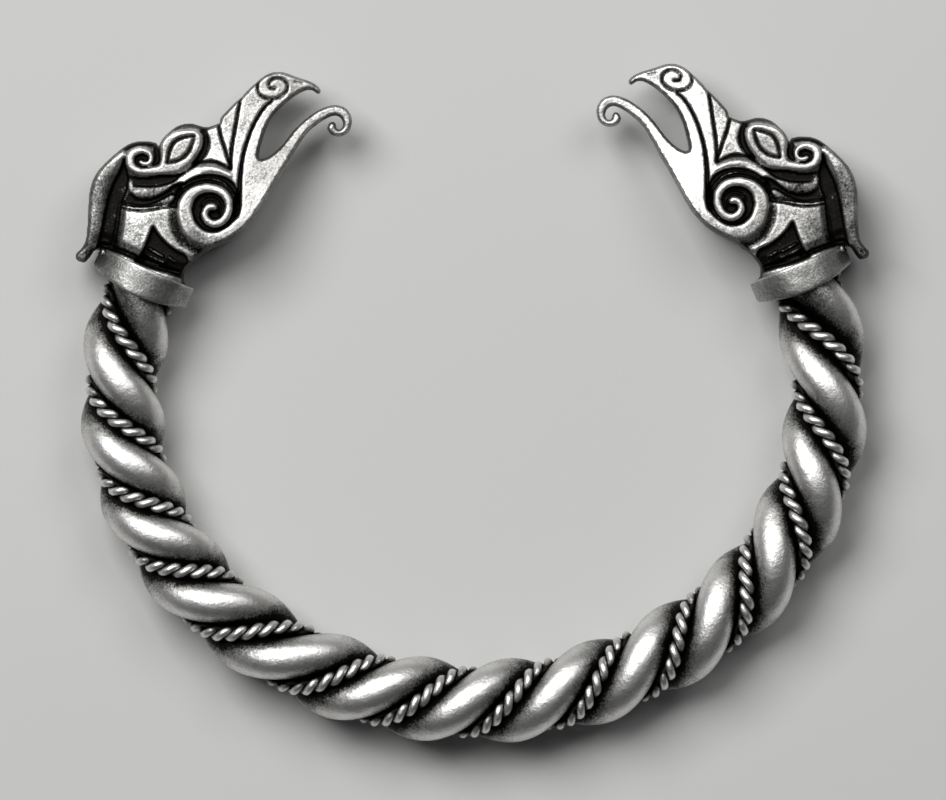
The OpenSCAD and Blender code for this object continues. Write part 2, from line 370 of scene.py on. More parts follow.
# %% Helpers for node trees
class Tree:
    """A Geometry Nodes tree with named inputs, and short ways to add its nodes."""

    def __init__(self, name):
        self.tree = bpy.data.node_groups.new(name, "GeometryNodeTree")
        self.sockets = {}
        self.tree.interface.new_socket("Geometry", in_out="INPUT", socket_type="NodeSocketGeometry")
        self.tree.interface.new_socket("Geometry", in_out="OUTPUT", socket_type="NodeSocketGeometry")

    def declare(self, kind, *names):
        for name in names:
            made = self.tree.interface.new_socket(name, in_out="INPUT", socket_type=kind)
            self.sockets[name] = made.identifier

    def open(self):
        self.start = self.tree.nodes.new("NodeGroupInput")
        self.end = self.tree.nodes.new("NodeGroupOutput")

    def value(self, name):
        return self.start.outputs[name]

    def link(self, source, target):
        if isinstance(source, bpy.types.NodeSocket):
            self.tree.links.new(source, target)
        else:
            target.default_value = source

    def node(self, kind, settings=(), **inputs):
        made = self.tree.nodes.new(kind)
        for name, value in dict(settings).items():
            setattr(made, name, value)
        for name, value in inputs.items():
            self.link(value, made.inputs[name.replace("_", " ")])
        return made

    def maths(self, operation, *values):
        made = self.node("ShaderNodeMath", {"operation": operation})
        for socket, value in zip(made.inputs, values):
            self.link(value, socket)
        return made.outputs[0]

    def vector(self, operation, first, second=None, scale=None):
        made = self.node("ShaderNodeVectorMath", {"operation": operation})
        self.link(first, made.inputs[0])
        if second is not None:
            self.link(second, made.inputs[1])
        if scale is not None:
            self.link(scale, made.inputs["Scale"])
        return made.outputs[0]


def helix(t, count, middle, out, up, radius, angle):
    """A line of count points, moved off the middle by a radius, at an angle from out towards up."""
    line = t.node("GeometryNodeCurvePrimitiveLine")
    points = t.node("GeometryNodeResampleCurve", Curve=line.outputs[0], Count=count)
    sideways = t.vector("SCALE", out, scale=t.maths("MULTIPLY", radius, t.maths("COSINE", angle)))
    rise = t.vector("SCALE", up, scale=t.maths("MULTIPLY", radius, t.maths("SINE", angle)))
    place = t.vector("ADD", middle, t.vector("ADD", sideways, rise))
    moved = t.node("GeometryNodeSetPosition", Geometry=points.outputs[0], Position=place)
    return moved.outputs[0]


def share_along(t, count):
    """From 0 at the first point of a line to 1 at its last."""
    index = t.node("GeometryNodeInputIndex").outputs[0]
    return t.maths("DIVIDE", index, t.maths("SUBTRACT", count, 1.0))


def sample(t, curve, mode, at):
    """Place, direction and normal of a curve, at a length or a share of it."""
    name = "Length" if mode == "LENGTH" else "Factor"
    made = t.node("GeometryNodeSampleCurve", {"mode": mode, "use_all_curves": True})
    t.link(curve, made.inputs["Curves"])
    t.link(at, made.inputs[name])
    return made.outputs["Position"], made.outputs["Tangent"], made.outputs["Normal"]


def strand_path(t):
    """The helix of one strand round the rope's centre line."""
    guide = t.node("GeometryNodeMeshToCurve", Mesh=t.value("Geometry")).outputs[0]
    share = share_along(t, t.value("Path points"))
    span = t.maths("SUBTRACT", t.value("To"), t.value("From"))
    s = t.maths("ADD", t.value("From"), t.maths("MULTIPLY", share, span))
    wave = t.maths("DIVIDE", t.maths("ADD", s, WANDER_SHIFT), t.value("Wander wave"))
    swing = t.maths("COSINE", t.maths("MULTIPLY", wave, math.tau))
    on_left = t.maths("LESS_THAN", s, t.value("Wander from"))
    wander = t.maths("MULTIPLY", t.maths("MULTIPLY", swing, on_left), t.value("Wander"))
    late = t.maths("DIVIDE", t.maths("SUBTRACT", s, SLACK_FROM), RIGHT_LENGTH - SLACK_FROM)
    late = t.maths("MAXIMUM", late, 0.0)
    behind = t.maths("MULTIPLY", t.maths("MULTIPLY", late, late), t.value("Slack"))
    run = t.maths("SUBTRACT", t.maths("ADD", s, wander), t.maths("ADD", behind, t.value("First crest")))
    turns = t.maths("ADD", t.maths("DIVIDE", run, t.value("Pitch")), t.value("Start turn"))
    angle = t.maths("ADD", t.maths("MULTIPLY", turns, math.tau), math.pi / 2)
    at = t.maths("SUBTRACT", s, t.value("Guide from"))
    middle, along, _ = sample(t, guide, "LENGTH", at)
    up = t.node("ShaderNodeCombineXYZ", Z=1.0).outputs[0]
    out = t.vector("CROSS_PRODUCT", along, up)
    return helix(t, t.value("Path points"), middle, out, up, t.value("Offset"), angle)


def tube(t, path):
    """Sweeps a circle along a path and closes its ends."""
    circle = t.node("GeometryNodeCurvePrimitiveCircle",
                    Resolution=t.value("Tube sides"), Radius=t.value("Tube radius"))
    made = t.node("GeometryNodeCurveToMesh", Curve=path, Profile_Curve=circle.outputs[0], Fill_Caps=True)
    return made.outputs[0]


def close_tree(t, mesh):
    """The last two nodes of every tree: whole geometry, with its material."""
    whole = t.node("GeometryNodeRealizeInstances", Geometry=mesh)
    painted = t.node("GeometryNodeSetMaterial", Geometry=whole.outputs[0], Material=t.value("Material"))
    t.link(painted.outputs[0], t.end.inputs[0])


STRAND_SIZES = ("From", "To", "Guide from", "Pitch", "First crest", "Start turn", "Offset",
                "Wander", "Wander from", "Wander wave", "Slack", "Tube radius")


def open_tree(name, more_sizes=(), more_counts=()):
    """A tree with the inputs that every strand has, and a few more."""
    t = Tree(name)
    t.declare("NodeSocketFloat", *STRAND_SIZES, *more_sizes)
    t.declare("NodeSocketInt", "Path points", "Tube sides", *more_counts)
    t.declare("NodeSocketMaterial", "Material")
    t.open()
    return t


def rod_tree():
    """One thick rod: a tube along its helix."""
    t = open_tree("rod")
    close_tree(t, tube(t, strand_path(t)))
    return t


def pair_tree():
    """One twisted wire: two fine tubes on helices round a strand's helix."""
    t = open_tree("twisted_pair", ("Fine pitch", "Fine offset"), ("Fine points",))
    path = strand_path(t)
    length = t.node("GeometryNodeCurveLength", Curve=path).outputs[0]
    share = share_along(t, t.value("Fine points"))
    turns = t.maths("DIVIDE", t.maths("MULTIPLY", share, length), t.value("Fine pitch"))
    middle, along, normal = sample(t, path, "FACTOR", share)
    other = t.vector("CROSS_PRODUCT", along, normal)
    join = t.node("GeometryNodeJoinGeometry")
    for half_turn in (0.0, 0.5):
        angle = t.maths("MULTIPLY", t.maths("ADD", turns, half_turn), -math.tau)
        fine = helix(t, t.value("Fine points"), middle, normal, other, t.value("Fine offset"), angle)
        t.link(tube(t, fine), join.inputs[0])
    close_tree(t, join.outputs[0])
    return t


# %% The guide line
guide_from = -LEFT_LENGTH - GUIDE_SPARE
guide_count = int((LEFT_LENGTH + RIGHT_LENGTH + 2 * GUIDE_SPARE) / GUIDE_STEP) + 1
guide_lengths = [guide_from + GUIDE_STEP * i for i in range(guide_count)]
guide_points = [(*centre(s), 0.0) for s in guide_lengths]
guide_edges = [(i, i + 1) for i in range(guide_count - 1)]
print("guide points:", guide_count)


def grow(name, tree, **sizes):
    """Runs a tree on the guide line and returns a plain mesh object, still in millimetres."""
    mesh = bpy.data.meshes.new(name + "_guide")
    mesh.from_pydata(guide_points, guide_edges, [])
    piece = bpy.data.objects.new(name, mesh)
    bpy.context.scene.collection.objects.link(piece)
    modifier = piece.modifiers.new("shape", "NODES")
    modifier.node_group = tree.tree
    for label, value in sizes.items():
        modifier[tree.sockets[label.replace("_", " ")]] = value
    evaluated = piece.evaluated_get(bpy.context.evaluated_depsgraph_get())
    result = bpy.data.meshes.new_from_object(evaluated)
    piece.modifiers.remove(modifier)
    piece.data = result
    bpy.data.meshes.remove(mesh)
    return piece


# %% [markdown]
# ## How deep in the rope a point lies
#
# The polisher's cloth reaches only the outside of the rope. So the relief that the silver reads comes
# from the distance to the rope's centre line: 1 where the rods and wires stand out, 0 in the grooves.
# The edges between the broad faces are painted darker than the faces, as painted shade.
# Close to the collars all of it is duller.

# %% Relief of the rope
ROD_CREST = ROD_OFFSET + ROD_R
ROD_GROOVE = 2.90
PAIR_CREST = PAIR_OFFSET + FINE_OFFSET + FINE_R
PAIR_GROOVE = 2.90
# Painted shade: the share of brightness that the sides of the rods and of the wires keep between the broad
# faces.
ROD_SIDE_SHADE = 0.58
WIRE_SIDE_SHADE = 0.72
FACE_Z = 2.6
DULL_WITHIN = 5.5
DULL_FULLY = 2.5
DULL_SHARE = 0.40


def distance_from_centre_line(points):
    from_bottom = points[:, :2] - np.array([0.0, BOTTOM_Y])
    angle = np.abs(np.arctan2(from_bottom[:, 0], -from_bottom[:, 1]))
    in_bottom = np.hypot(*from_bottom.T) - BOTTOM_R
    sides = points[:, :2] - np.stack([np.sign(points[:, 0]) * SIDE_X, np.zeros(len(points))], axis=1)
    in_side = np.hypot(*sides.T) - SIDE_R
    flat = np.where(angle < JOIN_ANGLE, in_bottom, in_side)
    return np.hypot(flat, points[:, 2])


def points_of(mesh):
    points = np.empty(len(mesh.vertices) * 3, dtype=np.float32)
    mesh.vertices.foreach_get("co", points)
    return points.reshape(-1, 3).astype(np.float64)


def painted_side_shade(z, brightness_at_side):
    """Painted shade by height off the middle plane: none on the broad faces, darker on the sides between.
    """
    return brightness_at_side + (1 - brightness_at_side) * np.clip(np.abs(z) / FACE_Z, 0, 1)


def dullness_at_collars(points):
    """1 on the open rope, and less close to a collar, where no cloth gets in."""
    bright = np.ones(len(points))
    for end in (-LEFT_LENGTH, RIGHT_LENGTH):
        away = np.hypot(*(points[:, :2] - centre(end)).T)
        share = np.clip((away - DULL_FULLY) / (DULL_WITHIN - DULL_FULLY), 0, 1)
        bright = np.minimum(bright, DULL_SHARE + (1 - DULL_SHARE) * share)
    return bright


def finish_strand(piece, groove, crest, side_shade_share, material):
    """Works out a strand's relief, then moves it from ring millimetres to the frame."""
    points = points_of(piece.data)
    depth = distance_from_centre_line(points)
    relief = np.clip((depth - groove) / (crest - groove), 0, 1)
    # The sides between the broad faces are darkened here as painted shade.
    relief *= painted_side_shade(points[:, 2], side_shade_share) * dullness_at_collars(points)
    piece.data.vertices.foreach_set("co", to_frame(points).astype(np.float32).ravel())
    finish_mesh(piece.data, relief, material)


# %% The rods and wires
rods = rod_tree()
pairs = pair_tree()
common = {"From": -(LEFT_LENGTH - ROPE_SHORT), "To": RIGHT_LENGTH - ROPE_SHORT,
          "Guide_from": guide_from, "Pitch": PITCH, "First_crest": FIRST_CREST,
          "Wander": TWIST_WANDER, "Wander_from": WANDER_FROM, "Wander_wave": WANDER_WAVE, "Slack": SLACK}
for k in range(STRANDS):
    rod = grow(f"silver_rod_{k + 1}", rods, **common, Start_turn=k / STRANDS, Offset=ROD_OFFSET,
               Tube_radius=ROD_R, Path_points=ROD_POINTS, Tube_sides=ROD_SIDES, Material=rod_silver)
    finish_strand(rod, ROD_GROOVE, ROD_CREST, ROD_SIDE_SHADE, rod_silver)
    put_in_place(rod, f"rod_{k + 1}")
    pair = grow(f"twisted_wire_{k + 1}", pairs, **common, Start_turn=(k + 0.5) / STRANDS,
                Offset=PAIR_OFFSET, Tube_radius=FINE_R, Fine_offset=FINE_OFFSET, Fine_pitch=FINE_PITCH,
                Path_points=PAIR_POINTS, Fine_points=FINE_POINTS, Tube_sides=FINE_SIDES,
                Material=wire_silver)
    finish_strand(pair, PAIR_GROOVE, PAIR_CREST, WIRE_SIDE_SHADE, wire_silver)
    put_in_place(pair, f"wire_{k + 1}")

# %% [markdown]
# ## Placing what stands at the ends
#
# The left collar and head are drawn in a frame of their own, with its origin in the collar's middle.
# The right ones are the same pieces mirrored. They were soldered on by eye, so the right ones are
# turned by a degree and a half. Mirroring turns a mesh inside out, so its faces are turned back.

# %% Places of the ends
HEAD_OUT = 0.2
RIGHT_TURN = math.radians(-1.5)
left_origin = centre(-LEFT_LENGTH) + HEAD_OUT * outward(-LEFT_LENGTH)
right_origin = centre(RIGHT_LENGTH)


def at_end(side, points):
    """Points of the left end's own frame, moved to the left or the right end of the ring."""
    moved = np.array(points, dtype=np.float64)
    if side == "left":
        moved[:, :2] += left_origin
        return moved
    x = -moved[:, 0]
    y = moved[:, 1].copy()
    moved[:, 0] = x * math.cos(RIGHT_TURN) - y * math.sin(RIGHT_TURN) + right_origin[0]
    moved[:, 1] = x * math.sin(RIGHT_TURN) + y * math.cos(RIGHT_TURN) + right_origin[1]
    return moved


def end_piece(side, name, points, quads, relief, material, node):
    """A collar or head at one end of the ring, from a mesh in the left end's own frame."""
    corners = quads if side == "left" else quads[:, ::-1]
    piece = mesh_from(name, at_end(side, points), corners, relief, material)
    put_in_place(piece, node)


# %% [markdown]
# ## The collars
#
# A collar is a plain band of sheet, bent round and hammered down, so its edges are rounded and its
# face is a little uneven. Its lower edge runs deeper on the two broad faces than at the sides. The
# section is a squared-off oval, carried round a circle, with a few slow waves for the hammer marks.

# %% Collar shape
COLLAR_R = 5.13
COLLAR_BORE_R = 4.42
COLLAR_TOP = 1.0
COLLAR_BOTTOM = 1.95
COLLAR_RISE = 0.9
COLLAR_LEAN = math.radians(24.5)
COLLAR_ROUND = 160
COLLAR_SECTION = 48
COLLAR_SQUARE = 5.5
TOP_RISE = 0.1
HAMMER_DEPTH = 0.03
WIDE_DENTS = 0.5
SMALL_DENTS = 0.3
# The upper rim is painted brighter than the face: a painted highlight along its rounded edge.
RIM_FROM = 0.80
RIM_HIGHLIGHT = 0.85
FACE_WEAR = 0.52
BORE_FROM = -0.3
BORE_WEAR = 0.2


def collar_points():
    """The collar's points, section after section round the circle, and their relief."""
    around = np.arange(COLLAR_ROUND) * math.tau / COLLAR_ROUND
    section = np.arange(COLLAR_SECTION) * math.tau / COLLAR_SECTION
    turn, part = np.meshgrid(around, section, indexing="ij")
    rise_r = COLLAR_R ** 2 / (2 * COLLAR_RISE)
    low = rise_r - COLLAR_BOTTOM - np.sqrt(rise_r ** 2 - (COLLAR_R * np.cos(turn)) ** 2)
    high = COLLAR_TOP + TOP_RISE * np.cos(turn) ** 2
    power = 2 / COLLAR_SQUARE
    thick = np.sign(np.cos(part)) * np.abs(np.cos(part)) ** power
    tall = np.sign(np.sin(part)) * np.abs(np.sin(part)) ** power
    wide_dents = WIDE_DENTS * (np.sin(3 * turn + 1) - 1)
    small_dents = SMALL_DENTS * (np.sin(7 * turn + 2 * tall) - 1)
    radius = (COLLAR_R + COLLAR_BORE_R) / 2 + thick * (COLLAR_R - COLLAR_BORE_R) / 2
    radius = radius + HAMMER_DEPTH * (wide_dents + small_dents) * (thick > 0)
    along = (high + low) / 2 + tall * (high - low) / 2
    across = radius * np.cos(turn)
    x = across * math.cos(COLLAR_LEAN) + along * math.sin(COLLAR_LEAN)
    y = -across * math.sin(COLLAR_LEAN) + along * math.cos(COLLAR_LEAN)
    points = np.stack([x, y, radius * np.sin(turn)], axis=-1).reshape(-1, 3)
    # A painted highlight brightens the upper rim.
    rim_highlight = np.clip((tall - RIM_FROM) / (1 - RIM_FROM), 0, 1)
    relief = np.where(thick < BORE_FROM, BORE_WEAR, FACE_WEAR + (RIM_HIGHLIGHT - FACE_WEAR) * rim_highlight)
    return points, relief.ravel()


def grid_quads(rows, columns):
    """Corner numbers of a grid of points that closes on itself both ways."""
    i, j = np.meshgrid(np.arange(rows), np.arange(columns), indexing="ij")
    i2 = (i + 1) % rows
    j2 = (j + 1) % columns
    corners = [i * columns + j, i * columns + j2, i2 * columns + j2, i2 * columns + j]
    return np.stack(corners, axis=-1).reshape(-1, 4)


collar_mesh_points, collar_relief = collar_points()
collar_quads = grid_quads(COLLAR_ROUND, COLLAR_SECTION)
for side in ("left", "right"):
    end_piece(side, f"silver_collar_{side}", collar_mesh_points, collar_quads, collar_relief,
              collar_silver, f"collar_{side}")

# %% [markdown]
# ## The heads, as a map of heights
#
# Each head is a flat casting with the same relief on both faces. Its carver worked with bands: ribbons
# with round crests that curl into spirals, and fine lines cut between them. So the head is drawn the
# way it was carved. A map holds half the head's thickness over every point of the plane; bands raise
# it and cuts lower it, and the solid is everything nearer to the middle plane than the map says.
#
# The first table is the outline of the head seen from its broad side. The second gives half its
# thickness at some places, from which the rest is blended: thick at the neck and jaw, thin at the
# beak. All are in millimetres, in the left head's own frame. The columns are x, y and half thickness.

# %% Outline and levels
HEAD_OUTLINE = [
    (-3.85, 1.95), (4.11, -1.31), (4.05, -0.40), (4.10, 0.50), (4.60, 1.25), (5.30, 1.90), (6.20, 2.55),
    (7.00, 3.05), (8.00, 3.45), (9.00, 4.00), (10.00, 4.75), (10.90, 5.70), (11.60, 6.70), (12.20, 7.70),
    (12.85, 8.80), (13.50, 9.90), (14.05, 10.80), (14.55, 11.60), (15.20, 12.75), (15.85, 13.75),
    (16.50, 14.60), (17.20, 15.20), (17.90, 15.70), (18.60, 16.08), (19.20, 16.22), (19.65, 16.05),
    (19.92, 15.65), (19.95, 15.20), (19.75, 14.90), (19.50, 14.85), (19.30, 15.00), (19.25, 15.35),
    (19.00, 15.62), (18.70, 15.55), (18.42, 15.20), (18.42, 14.75), (18.75, 14.35), (19.30, 14.12),
    (19.95, 14.20), (20.45, 14.50), (20.75, 15.05), (20.85, 15.75), (20.70, 16.35), (20.30, 16.90),
    (19.70, 17.20), (19.00, 17.28), (18.10, 17.05), (17.20, 16.60), (16.20, 15.90), (15.20, 14.95),
    (14.40, 13.95), (13.65, 13.05), (12.85, 12.35), (12.20, 11.98), (11.62, 11.95), (11.60, 12.60),
    (11.75, 13.20), (12.00, 14.10), (12.40, 15.15), (13.00, 16.15), (13.70, 16.95), (14.40, 17.60),
    (15.10, 18.15), (15.80, 18.55), (16.40, 18.78), (16.95, 18.72), (17.25, 18.48), (17.55, 18.40),
    (17.75, 18.65), (17.60, 19.00), (17.15, 19.38), (16.45, 19.72), (15.70, 19.95), (15.00, 20.20),
    (14.25, 20.48), (13.50, 20.60), (12.80, 20.50), (12.00, 20.12), (11.25, 19.50), (10.50, 18.80),
    (9.75, 18.00), (9.10, 17.45), (8.50, 16.85), (7.95, 16.25), (7.70, 15.90), (7.62, 15.50), (7.35, 15.36),
    (6.80, 15.15), (6.20, 15.05), (5.60, 15.20), (4.80, 15.42), (4.00, 15.35), (3.30, 15.10), (2.70, 14.65),
    (2.10, 14.10), (1.72, 13.50), (1.50, 13.10), (1.30, 13.45), (0.60, 13.62), (-0.20, 13.65),
    (-1.10, 13.50), (-2.00, 13.02), (-3.00, 12.22), (-3.95, 11.35), (-4.65, 10.50), (-5.10, 9.60),
    (-5.38, 8.50), (-5.50, 7.00), (-5.58, 5.20), (-5.75, 3.80), (-6.10, 3.05), (-6.75, 2.35),
    (-6.65, 1.80), (-5.90, 1.55), (-5.35, 2.10), (-4.90, 2.75), (-4.30, 2.70)]

HALF_THICKNESS = [
    (0.0, 0.0, 4.2), (3.0, 4.0, 4.2), (0.0, 5.0, 4.2), (6.0, 3.6, 4.3), (9.0, 5.0, 4.4), (11.0, 6.5, 4.2),
    (7.0, 7.0, 4.2), (2.0, 7.5, 4.0), (5.0, 9.0, 4.1), (10.0, 8.5, 4.1), (12.0, 9.0, 3.7),
    (13.4, 10.8, 3.0), (11.5, 11.5, 3.4), (14.5, 12.6, 2.3), (16.0, 14.9, 1.7), (17.7, 16.3, 1.2),
    (19.5, 16.6, 1.0), (20.3, 15.0, 1.0), (18.7, 15.0, 1.0), (9.2, 11.0, 3.8), (11.0, 13.3, 3.1),
    (12.1, 15.6, 2.6), (13.6, 17.5, 2.1), (15.0, 18.6, 1.6), (16.6, 19.1, 1.1), (17.5, 18.8, 0.8),
    (9.2, 14.0, 3.3), (10.0, 16.0, 2.8), (11.3, 18.0, 2.4), (13.0, 19.2, 2.1), (14.5, 19.6, 1.7),
    (8.6, 16.2, 2.7), (7.2, 13.2, 3.5), (7.2, 15.0, 3.0), (4.0, 13.0, 3.5), (4.5, 15.2, 3.0),
    (2.5, 14.5, 3.1), (6.2, 15.0, 3.0), (2.0, 11.5, 3.6), (0.0, 11.0, 3.4), (0.3, 13.4, 3.0),
    (-2.0, 12.6, 2.9), (1.0, 9.0, 3.7), (-2.0, 6.0, 3.6), (-3.5, 9.0, 3.0), (-5.0, 6.0, 3.1),
    (-6.2, 2.2, 2.9)]
THICKNESS_REACH = 1.9

# %% [markdown]
# The raised ribbons have columns x, y, half width and half thickness of the head at the crest. The
# closed outlines are sunk to a level, or raised to it, and have columns x and y. The neck has the
# columns of a ribbon, but it is lowered: it rounds off the casting towards the collar.

# %% Tables of the relief
JAW_SPIRAL = [
    (11.50, 8.80, 1.30, 3.2), (11.15, 7.80, 1.15, 3.75), (10.70, 6.70, 0.95, 4.15),
    (9.95, 5.55, 0.80, 4.4), (8.80, 4.55, 0.70, 4.5), (7.40, 3.88, 0.72, 4.5), (5.90, 3.98, 0.82, 4.5),
    (4.78, 4.80, 0.85, 4.6), (4.24, 6.10, 0.80, 4.6), (4.28, 7.30, 0.74, 4.6), (4.80, 8.25, 0.62, 4.6),
    (5.70, 8.80, 0.52, 4.6), (6.75, 8.93, 0.46, 4.6), (7.80, 8.58, 0.44, 4.6), (8.45, 7.80, 0.42, 4.6),
    (8.58, 6.90, 0.42, 4.6), (8.28, 6.05, 0.44, 4.6), (7.70, 5.50, 0.44, 4.6), (7.05, 5.38, 0.44, 4.6),
    (6.45, 5.70, 0.42, 4.6), (6.18, 6.30, 0.38, 4.6), (6.42, 6.90, 0.38, 4.6), (6.85, 7.12, 0.40, 4.6),
    (7.15, 7.02, 0.34, 4.6)]

EYE_TAIL = [
    (3.40, 11.00, 0.60, 3.95), (2.50, 10.85, 0.52, 3.95), (1.50, 10.72, 0.45, 3.95),
    (0.60, 10.62, 0.42, 3.95), (-0.30, 10.66, 0.42, 3.95), (-0.98, 10.98, 0.44, 3.9),
    (-1.28, 11.60, 0.44, 3.9), (-1.15, 12.22, 0.42, 3.85), (-0.62, 12.62, 0.38, 3.8),
    (0.05, 12.68, 0.32, 3.8), (0.62, 12.40, 0.28, 3.8), (0.84, 11.85, 0.26, 3.8),
    (0.55, 11.40, 0.28, 3.8), (0.10, 11.34, 0.28, 3.8), (-0.20, 11.54, 0.25, 3.8)]

EYE_PLATE = [
    (1.75, 12.60), (1.75, 13.30), (2.05, 13.90), (2.65, 14.38), (3.30, 14.70), (4.10, 14.86),
    (4.90, 14.90), (5.45, 14.72), (5.72, 14.45), (6.10, 14.25), (6.10, 13.60), (5.90, 12.95),
    (5.55, 12.30), (5.10, 11.65), (4.50, 11.05), (3.70, 10.65), (2.70, 10.55), (1.90, 10.60),
    (1.60, 11.20), (1.75, 11.90)]

LEAF = [
    (8.75, 10.15, 0.24, 3.95), (8.00, 10.50, 0.34, 3.95), (7.20, 10.76, 0.40, 3.95),
    (6.20, 10.80, 0.42, 3.95), (5.40, 10.62, 0.36, 3.9), (4.60, 10.28, 0.24, 3.65),
    (3.60, 9.76, 0.18, 3.50), (2.80, 9.24, 0.26, 3.52), (2.00, 8.82, 0.44, 3.53),
    (1.20, 8.54, 0.60, 3.50), (0.30, 8.44, 0.66, 3.44), (-0.50, 8.56, 0.66, 3.36),
    (-1.02, 8.92, 0.50, 3.18), (-1.24, 9.36, 0.34, 3.06)]

UNDER_LEAF_PATCH = [
    (-1.60, 7.36, 0.18, 3.18), (-0.60, 7.16, 0.18, 3.22), (0.40, 7.14, 0.18, 3.32),
    (1.40, 7.36, 0.28, 3.46), (2.20, 7.58, 0.44, 3.56), (2.90, 7.76, 0.60, 3.62)]

RIDGE_OVER_SPIRAL = [
    (3.90, 9.00, 0.12, 3.65), (4.60, 9.38, 0.13, 3.70), (5.50, 9.72, 0.13, 3.70),
    (6.50, 9.88, 0.13, 3.70), (7.50, 9.70, 0.13, 3.70), (8.35, 9.22, 0.13, 3.70),
    (8.95, 8.50, 0.13, 3.70), (9.15, 7.95, 0.12, 3.65)]

RIDGES_IN_SPIRAL = [
    [(5.45, 5.20, 0.13, 3.6), (6.30, 4.72, 0.14, 3.65), (7.20, 4.58, 0.14, 3.65),
     (8.40, 4.95, 0.14, 3.65), (9.05, 5.60, 0.13, 3.6)],
    [(5.85, 7.20, 0.13, 3.6), (6.20, 7.65, 0.13, 3.65), (6.80, 7.85, 0.13, 3.65),
     (7.40, 7.65, 0.13, 3.65), (7.75, 7.10, 0.13, 3.65), (7.70, 6.40, 0.13, 3.6)]]

CREST_STRAP = [
    (-2.00, 12.30, 0.42, 3.2), (-2.75, 11.65, 0.66, 3.3), (-3.45, 10.70, 0.84, 3.4),
    (-4.00, 9.65, 0.97, 3.4), (-4.43, 8.20, 0.98, 3.4), (-4.66, 6.60, 0.88, 3.35),
    (-4.85, 5.20, 0.75, 3.3), (-5.08, 4.10, 0.64, 3.2), (-5.38, 3.20, 0.56, 3.1),
    (-5.95, 2.45, 0.52, 3.0), (-6.40, 2.05, 0.46, 2.9)]

RECESS_BY_STRAP = [
    (-5.10, 2.30), (-4.60, 3.60), (-4.25, 5.00), (-3.90, 7.00), (-3.25, 9.10), (-2.70, 10.30),
    (-2.25, 11.20), (-1.90, 12.20), (-1.60, 12.50), (-1.70, 11.60), (-1.50, 10.80), (-1.35, 10.20),
    (-1.35, 9.40), (-1.55, 8.60), (-2.00, 7.50), (-2.20, 6.30), (-2.35, 5.20), (-2.60, 4.00),
    (-2.85, 3.20), (-3.60, 2.90), (-4.40, 2.70)]

RECESS_UNDER_EYE = [
    (-2.00, 8.20), (-2.00, 10.60), (-1.40, 10.40), (-0.90, 10.25), (0.00, 10.10), (1.00, 10.22),
    (2.00, 10.35), (3.20, 10.35), (4.20, 10.65), (5.00, 11.30), (5.50, 11.60), (5.75, 11.35),
    (5.00, 10.85), (4.40, 10.45), (3.70, 9.98), (3.20, 9.45), (2.50, 8.95), (1.60, 8.50), (0.60, 8.20),
    (-0.40, 8.15), (-1.20, 8.30)]

RECESS_UNDER_LEAF = [
    (-2.10, 7.20), (-1.00, 6.95), (0.00, 6.88), (1.00, 6.98), (2.00, 7.10), (3.40, 7.20),
    (3.60, 8.30), (4.20, 8.95), (4.40, 9.45), (3.60, 9.50), (2.80, 9.30), (2.00, 8.95), (1.00, 8.70),
    (0.00, 8.60), (-1.00, 8.70), (-1.55, 8.90), (-2.05, 9.20), (-2.30, 7.90)]

CURL_HOLLOW = [
    (-1.05, 11.70), (-0.85, 12.30), (-0.20, 12.60), (0.50, 12.50), (0.85, 12.00), (0.90, 11.50),
    (0.55, 10.95), (0.00, 10.80), (-0.70, 11.00)]

BY_THE_CURL = [
    (0.90, 13.15), (1.50, 13.30), (1.72, 12.80), (1.85, 12.25), (2.10, 11.85), (1.75, 11.42),
    (1.20, 11.12), (0.80, 11.15), (1.00, 11.90), (1.00, 12.50)]

CROWN_BY_CURL = [
    (-1.75, 12.55), (-1.20, 12.80), (-0.60, 13.02), (0.20, 13.08), (0.90, 12.90), (1.40, 13.10),
    (1.70, 14.00), (0.00, 14.20), (-1.40, 13.90), (-2.40, 13.00)]

CROWN_BY_EYE = [
    (1.85, 14.05), (2.50, 14.58), (3.30, 14.88), (4.20, 15.02), (5.00, 15.02), (5.60, 14.72),
    (6.20, 14.50), (6.90, 14.90), (7.45, 15.20), (7.40, 15.90), (6.00, 15.90), (4.50, 16.00),
    (3.00, 15.60), (1.70, 14.60)]

SPIRAL_HOLLOW = [
    (6.60, 8.80), (5.60, 8.55), (4.90, 7.90), (4.60, 6.90), (4.70, 5.80), (5.20, 4.90), (6.10, 4.30),
    (7.20, 4.20), (8.40, 4.60), (9.30, 5.50), (9.70, 6.60), (9.75, 8.00), (9.30, 8.60), (8.90, 7.60),
    (8.60, 8.40), (7.80, 8.80)]

NECK = [
    (-0.40, -1.20, 4.35, 4.35), (0.10, 0.20, 4.30, 4.35), (1.10, 3.00, 4.60, 4.35),
    (1.90, 5.40, 5.20, 4.30)]

# %% [markdown]
# The lines that were cut have columns x, y and half width. The moat round the jaw spiral has a flat
# floor, and the other wide ones are shallow hollows whose softly darker silver is painted shade. The
# notch in the neck is a small triangular window, and the fine ridges across it are ribbons again.

# %% Tables of the cuts
MAIN_GROOVE = [
    (12.90, 17.70, 0.10), (12.30, 17.20, 0.12), (11.75, 16.50, 0.13), (11.30, 15.75, 0.13),
    (10.92, 15.00, 0.14), (10.60, 14.20, 0.14), (10.30, 13.30, 0.15), (10.05, 12.40, 0.16),
    (9.88, 11.50, 0.18), (9.72, 10.20, 0.22), (9.64, 9.00, 0.25), (9.62, 8.00, 0.27), (9.58, 7.10, 0.28),
    (9.35, 6.20, 0.26)]

BROW_LINE = [
    (7.48, 15.60, 0.12), (7.75, 14.20, 0.14), (8.20, 12.80, 0.14), (8.55, 11.70, 0.16),
    (8.75, 11.00, 0.16)]

